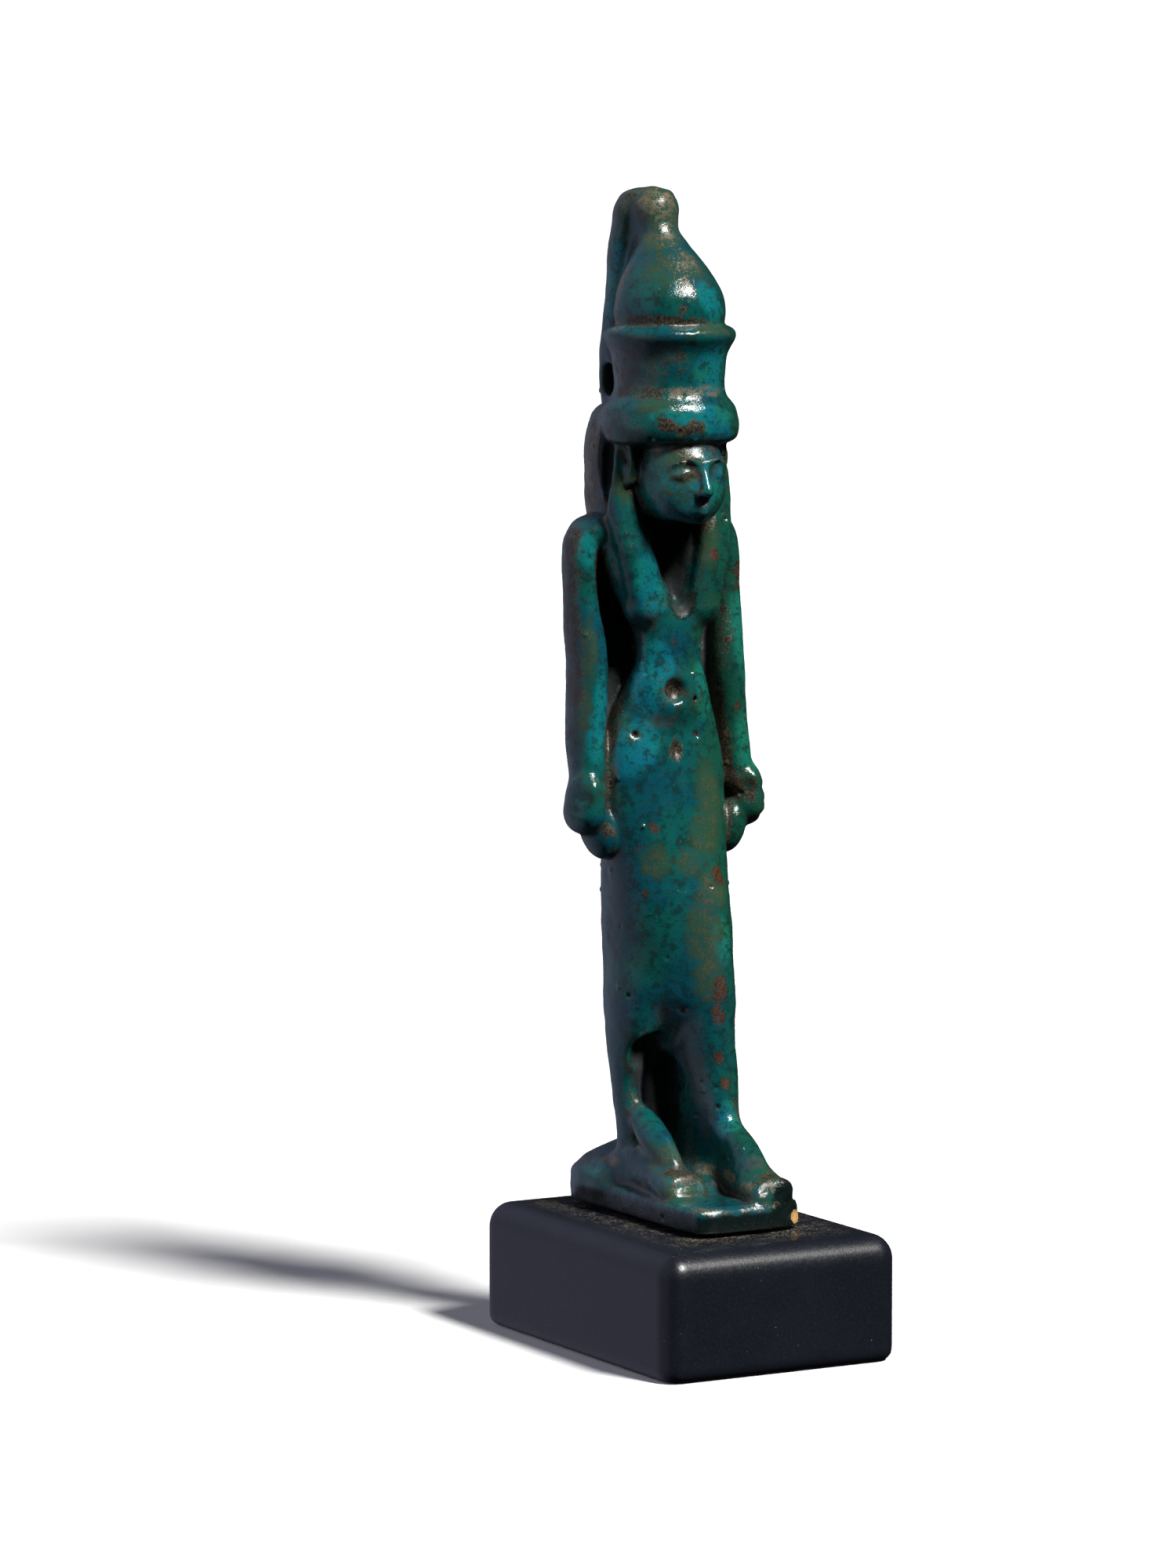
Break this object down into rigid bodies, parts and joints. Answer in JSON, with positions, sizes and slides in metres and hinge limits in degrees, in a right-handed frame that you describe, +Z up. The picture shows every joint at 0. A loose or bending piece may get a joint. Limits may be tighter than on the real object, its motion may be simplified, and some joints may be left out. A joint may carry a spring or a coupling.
{
  "type": "goddess amulet on plinth",
  "caption": "Glazed faience amulet of a striding goddess in a tall double crown, arms at the sides, with a loop behind the crown, on a black block plinth.",
  "frame": {"origin": "middle of the plinth's underside", "axes": "+Z up, -Y the way the figure faces, +X the figure's own left"},
  "size_m": [0.0176, 0.0252, 0.0772],
  "materials": {
    "glazed_faience": "glossy mottled turquoise and green glaze with brown pits",
    "black_lacquered_wood": "satin black lacquer"
  },
  "bodies": {
    "root": {"mut_amulet": "glazed_faience", "display_plinth": "black_lacquered_wood"}
  },
  "joints": []
}
